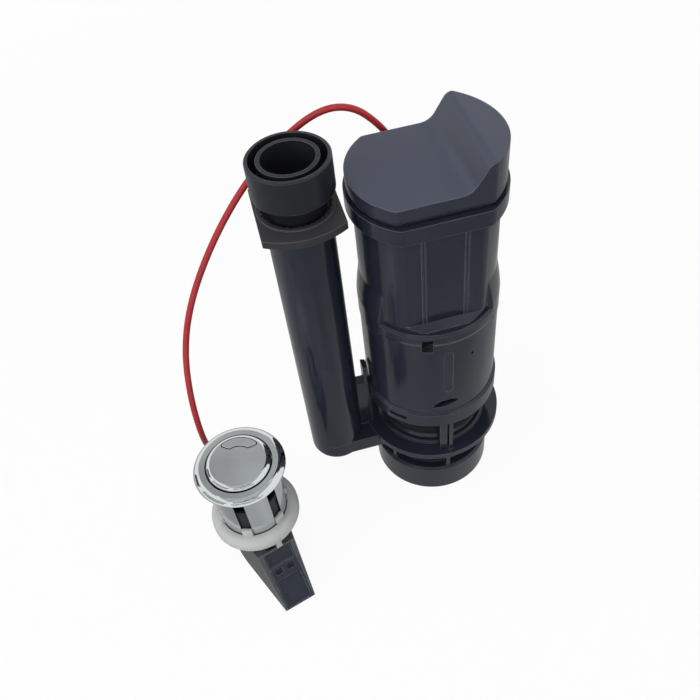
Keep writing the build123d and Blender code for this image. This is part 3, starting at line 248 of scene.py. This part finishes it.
# The sides' colour is a shaded copy of the plastic and the top's a lit copy: painted shade and painted
# light.
shaded_side_colour = lid.blend(cloud, rgb(35, 38, 48), rgb(41, 44, 55))
lit_top_colour = lid.blend(cloud, rgb(53, 57, 70), rgb(60, 64, 77))
# Edges painted paler in patches: wear, and a painted highlight along them.
wear_and_highlight = lid.rub_and_highlight(0.0007)
lid.feed(lid.shader, {
    "Base Color": lid.blend(wear_and_highlight, lid.blend(matt_top_and_painted_light, shaded_side_colour, lit_top_colour), rgb(116, 120, 132)),
    "Roughness": 0.24 + matt_top_and_painted_light * 0.18 + (cloud - 0.5) * 0.08 + wear_and_highlight * 0.1,
    "Normal": lid.skin(lid.noise(pore_cells, roughness=0.6), strength=0.2, distance=pore_depth, edge=0.0016),
})
dress(lid.material, "top_cap")

# Overflow: a flat lock plate on the pipe's end and the sliding extension with its double rim.
# Both are moulded in a more neutral, near-black plastic; the plate is matt, the extension glossier.
plate_black = moulded("plate_black", rgb(37, 37, 39), rgb(45, 45, 47), rgb(92, 92, 94),
                      rough=0.5, sheen=0.26, grain=0.3, edge=0.0007)
dress(plate_black, "overflow_lock_plate")
extension_black = moulded("extension_black", rgb(24, 25, 29), rgb(30, 31, 36), rgb(104, 106, 112),
                          rough=0.32, sheen=0.24, grain=0.12, edge=0.0006)
dress(extension_black, "overflow_extension")

# Lever housing under the button: a wedge moulded in grey plastic, closed in front by a darker cover
# that clips in. Its back takes the cable's ferrule.
wedge_grey = moulded("wedge_grey", rgb(60, 63, 66), rgb(68, 71, 74), rgb(128, 131, 134),
                     rough=0.42, sheen=0.28, grain=0.2, edge=0.0007)
dress(wedge_grey, "actuator_housing")
cover_grey = moulded("cover_grey", rgb(34, 38, 47), rgb(40, 44, 54), rgb(104, 108, 118),
                     rough=0.30, sheen=0.28, grain=0.14, edge=0.0006)
dress(cover_grey, "actuator_cover")

# Springs under the two buttons: round steel wire wound at an even pitch. The large one stands on the
# guide core, the small one in the main button. Each shortens onto its lower seat as its button goes down.


def coil(name, node, body, wire, turns, start):
    """A spring as large as a CAD node and in its place. It is a
    circle, the wire's section, carried square to a helix that rises evenly over its turns."""
    low, high = (np.array(corner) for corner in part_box(node))
    middle = (low + high) / 2
    radius = (high[0] - low[0]) / 2 - wire
    rise = high[2] - low[2] - 2 * wire
    full_turn = 2 * math.pi
    slope = math.atan2(rise, full_turn * turns * radius)
    steps_a_turn = 48
    steps = steps_a_turn * turns
    sides = 12
    along = np.linspace(0, 1, steps + 1)[:, None]
    around = np.arange(sides)[None, :] * full_turn / sides
    angle = start + full_turn * turns * along
    out_by = radius + wire * np.cos(around)
    lean = wire * np.sin(around) * math.sin(slope)
    points = np.stack([
        middle[0] + out_by * np.cos(angle) + lean * np.sin(angle),
        middle[1] + out_by * np.sin(angle) - lean * np.cos(angle),
        low[2] + wire + rise * along + wire * np.sin(around) * math.cos(slope)], axis=-1)
    ring = np.arange((steps + 1) * sides).reshape(-1, sides)
    beside = np.roll(ring, -1, axis=1)
    wall = np.stack([ring[:-1], ring[1:], beside[1:], beside[:-1]], axis=-1).reshape(-1, 4)
    ends = [ring[0].tolist(), ring[-1, ::-1].tolist()]
    mesh = bpy.data.meshes.new(name)
    mesh.from_pydata(points.reshape(-1, 3).tolist(), [], wall.tolist() + ends)
    mesh.polygons.foreach_set("use_smooth", np.arange(len(wall) + len(ends)) < len(wall))
    mesh.materials.append(drawn_steel.material)
    spring = bpy.data.objects.new(name, mesh)
    bpy.context.scene.collection.objects.link(spring)
    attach(spring, body)
    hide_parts(node)
    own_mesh(spring)


coil("main_button_spring", "main_spring", "valve_body", wire=0.00055, turns=6, start=math.radians(16))
coil("small_button_spring", "small_spring", "main_button", wire=0.0004, turns=4, start=0.0)

# Push button: bezel, barrel and both buttons are plastic plated with bright chrome.
# The plating is nearly a mirror, a little wavy, with faint wiping marks; narrow gaps are painted near-black,
# as painted shade.
chrome = Finish("bright_chrome", **{"Metallic": 1.0})
wave = chrome.noise(60.0, detail=1.0)
wipe = chrome.noise(420.0, detail=3.0)
gap_width = 0.0012
open_air = chrome.node("ShaderNodeAmbientOcclusion", {"samples": 8}, {"Distance": gap_width}, output="AO")
# Painted shade: where the ambient occlusion finds little open air, in narrow gaps, the colour turns
# near-black.
free_of_gap_shade = chrome.ramp(open_air, 0.55, 0.95)
bright = chrome.blend(wipe, rgb(209, 215, 215), rgb(216, 222, 222))
chrome.feed(chrome.shader, {
    "Base Color": chrome.blend(free_of_gap_shade, rgb(26, 27, 29), bright),
    "Roughness": 0.045 + wipe * 0.03,
    "Normal": chrome.skin(wave, strength=0.03, distance=0.0006, edge=0.00012),
})
dress(chrome.material, "button_barrel", "main_button", "small_button")

# Clamp nut: milky white plastic that lets some light through, pushed up the barrel on its tabs.
# It is moulded thick, so it looks cloudy.
nut_white = Finish("nut_white", **{
    "Subsurface Weight": 0.4, "Subsurface Radius": (0.004, 0.004, 0.004), "Subsurface Scale": 1.0,
    "Specular IOR Level": 0.4})
milk = nut_white.noise(90.0)
nut_white.feed(nut_white.shader, {
    "Base Color": nut_white.blend(milk, rgb(158, 160, 159), rgb(172, 174, 173)),
    "Roughness": 0.38 + milk * 0.12,
    "Normal": nut_white.skin(nut_white.noise(1800.0), strength=0.12, distance=0.0001, edge=0.0008),
})
dress(nut_white.material, "clamp_nut")

# Control cable: red plastic outer drawn over a wound liner, held in a ferrule at each end.
# Its line runs up behind the lid, over behind the overflow and down to the back of the lever housing.
# The photograph's chrome shows no red, so mirrors don't show the cable.
cable_radius = 0.00175
cable_points = np.array([
    (-5, 36.5, 212), (-5, 36.5, 222), (-12, 36.5, 235.5), (-25, 38, 248.5), (-42, 39.5, 249),
    (-65, 36.5, 237), (-88.5, 29.5, 219), (-110, 19.5, 196.5), (-127.5, 9.5, 171), (-137.5, 0.5, 146),
    (-141.5, -12, 121), (-142, -20, 97), (-142.5, -10.5, 71), (-142.5, 1, 52), (-140, 1.5, 34),
    (-135.5, -5.5, 19.5), (-132.27, -18.06, 13.46), (-128.13, -32.48, 13.46)]) / 1000
cable_line = bpy.data.curves.new("control_cable", "CURVE")
cable_line.dimensions = "3D"
cable_line.bevel_depth = cable_radius
cable_line.bevel_resolution = 6
cable_line.resolution_u = 16
cable_line.use_fill_caps = True
run = cable_line.splines.new("NURBS")
run.points.add(len(cable_points) - 1)
run.points.foreach_set("co", np.column_stack([cable_points, np.ones(len(cable_points))]).ravel())
run.order_u = 3
run.use_endpoint_u = True
control_cable = bpy.data.objects.new("control_cable", cable_line)
control_cable.visible_glossy = False
bpy.context.scene.collection.objects.link(control_cable)
red = Finish("cable_red", **{"Specular IOR Level": 0.5})
tint = red.noise(120.0)
red.feed(red.shader, {
    "Base Color": red.blend(tint, rgb(128, 19, 25), rgb(152, 28, 34)),
    "Roughness": 0.33 + tint * 0.12,
    "Normal": red.skin(red.noise(500.0), strength=0.04, distance=0.0001, edge=0.0002),
})
cable_line.materials.append(red.material)
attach(control_cable, "valve_body")
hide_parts("cable_sheath")

# Studio: a white floor and world that the camera and mirrors see as white, with soft lamps.
# Cards that only mirrors see give the chrome and the glossy plastic something grey and dark to show.
scene = bpy.context.scene
scene.view_settings.view_transform = "Standard"


def seen_rays(shading):
    """1 for rays from the camera, or by way of mirrors and glass, and 0 for rays that light the object."""
    seen = shading.node("ShaderNodeLightPath", output="Is Camera Ray")
    for way in ("Is Glossy Ray", "Is Transmission Ray"):
        seen = seen.math("MAXIMUM", seen, shading.node("ShaderNodeLightPath", output=way))
    return seen


def sheet(name, corners, paint, shader):
    """A flat sheet given by its four corners, with a shader of its own in place of its paint's."""
    paint.feed(paint.tree.nodes["Material Output"], {"Surface": shader})
    mesh = bpy.data.meshes.new(name)
    mesh.from_pydata([tuple(corner) for corner in corners], [], [(0, 1, 2, 3)])
    mesh.materials.append(paint.material)
    flat = bpy.data.objects.new(name, mesh)
    scene.collection.objects.link(flat)


floor_paint = Finish("floor_white", **{
    "Roughness": 0.9, "Specular IOR Level": 0.0, "Base Color": (0.6, 0.6, 0.6, 1)})
shaded = Sock(floor_paint.tree, floor_paint.shader.outputs[0])
glow = floor_paint.node("ShaderNodeEmission", values={"Color": (1, 1, 1, 1), "Strength": 1.0})
from_middle = floor_paint.node("ShaderNodeVectorMath", {"operation": "LENGTH"},
                               {0: floor_paint.here()}, output="Value")
# Near the object the glow lets some of the floor's own shading through, and with it the shadow.
fade = floor_paint.ramp(from_middle, 0.3, 1.1, first=0.93)
lit = floor_paint.node("ShaderNodeMixShader", values={
    0: seen_rays(floor_paint) * fade, 1: shaded, 2: glow})
floor_reach = 4
sheet("floor", [(-floor_reach, -floor_reach, 0), (floor_reach, -floor_reach, 0),
                (floor_reach, floor_reach, 0), (-floor_reach, floor_reach, 0)], floor_paint, lit)


def card(name, centre, aim, width, height, dark, pale):
    """A card that shows in mirrors alone, square on to its aim, cloudy between two grey levels. Its
    corners lie half its width to the side of its centre and half its height above and below."""
    paint = Finish(name)
    mirrored = paint.node("ShaderNodeLightPath", output="Is Glossy Ray")
    clear = paint.node("ShaderNodeBsdfTransparent")
    cloud = paint.ramp(paint.noise(7.0), 0.35, 0.65)
    level = paint.blend(cloud, (dark, dark, dark, 1), (pale, pale, pale, 1))
    grey = paint.node("ShaderNodeEmission", values={"Color": level, "Strength": 1.0})
    shown = paint.node("ShaderNodeMixShader", values={0: mirrored, 1: clear, 2: grey})
    centre = np.array(centre)
    out = np.array(aim) - centre
    out = out / np.linalg.norm(out)
    side = np.cross((0, 0, 1), out)
    side = side / np.linalg.norm(side)
    rise = np.cross(out, side) * height / 2
    side = side * width / 2
    sheet(name, [centre - side - rise, centre + side - rise, centre + side + rise, centre - side + rise],
          paint, shown)


button_place = (-0.124, -0.047, 0.102)
card("card_ceiling", (-0.21, 0.52, 0.93), button_place, width=0.9, height=0.62, dark=0.35, pale=0.61)
card("card_overhead", (-0.16, -0.20, 1.10), button_place, width=0.9, height=0.9, dark=0.40, pale=0.70)
card("card_camera", (-0.20, -0.80, 1.00), button_place, width=0.9, height=0.36, dark=0.15, pale=0.55)
card("card_front", (-0.15, -1.05, 0.55), button_place, width=1.3, height=0.45, dark=0.30, pale=0.90)
card("card_left", (-0.95, 0.35, 0.30), button_place, width=0.30, height=0.5, dark=0.06, pale=0.14)
card("card_side", (-1.05, -0.35, 0.55), button_place, width=0.9, height=0.6, dark=0.30, pale=0.60)
card("card_table", (-0.08, -0.10, 0.0002), (-0.08, -0.0999, 1.0), width=1.6, height=1.6,
     dark=0.33, pale=0.56)

scene.world = bpy.data.worlds.new("studio")
sky = Shading(scene.world)
sky_light = 0.45
sky.feed(sky.tree.nodes["Background"], {
    "Color": (1, 1, 1, 1), "Strength": sky_light + (1 - sky_light) * seen_rays(sky)})


def lamp(name, place, aim, size, watts):
    """A square soft box that points from its place to its aim and that mirrors don't show."""
    light = bpy.data.lights.new(name, "AREA")
    light.size = size
    light.energy = watts
    box = bpy.data.objects.new(name, light)
    scene.collection.objects.link(box)
    box.location = place
    box.visible_glossy = False
    box.rotation_euler = (Vector(aim) - Vector(place)).to_track_quat("-Z", "Y").to_euler()


lamp("key_above", (-0.25, -0.20, 1.25), (-0.05, 0, 0.12), size=0.9, watts=10.0)
lamp("fill_front", (-0.15, -1.0, 0.55), (-0.05, 0, 0.10), size=0.5, watts=4.0)
lamp("fill_left", (-1.0, -0.30, 0.55), (-0.05, 0, 0.12), size=0.5, watts=4.5)
lamp("rim_right", (0.95, 0.25, 0.6), (0, 0, 0.15), size=0.5, watts=2.5)

# Camera: fitted to the photograph's view, 39.7 mm on a 36 mm frame, looking down at 49 degrees.
# It looks at a point between the valve and its button, and is rolled by 8 degrees.
azimuth, elevation, roll = (math.radians(angle) for angle in (-8.00, 49.17, -7.99))
looked_at = np.array([-0.0458, 0.0136, 0.1000])
distance = 0.4693
back = np.array([math.sin(azimuth) * math.cos(elevation), -math.cos(azimuth) * math.cos(elevation),
                 math.sin(elevation)])
right = np.array([math.cos(azimuth), math.sin(azimuth), 0.0])
up = np.cross(back, right)
tilted_right = math.cos(roll) * right + math.sin(roll) * up
tilted_up = math.cos(roll) * up - math.sin(roll) * right
stand = looked_at + distance * back
lens = bpy.data.cameras.new("photo_view")
lens.sensor_width = 36.0
lens.lens = 39.70
lens.clip_start = 0.01
camera = bpy.data.objects.new("photo_view", lens)
scene.collection.objects.link(camera)
camera.matrix_world = Matrix(np.vstack([
    np.column_stack([tilted_right, tilted_up, back, stand]), [0, 0, 0, 1]]).tolist())
scene.camera = camera
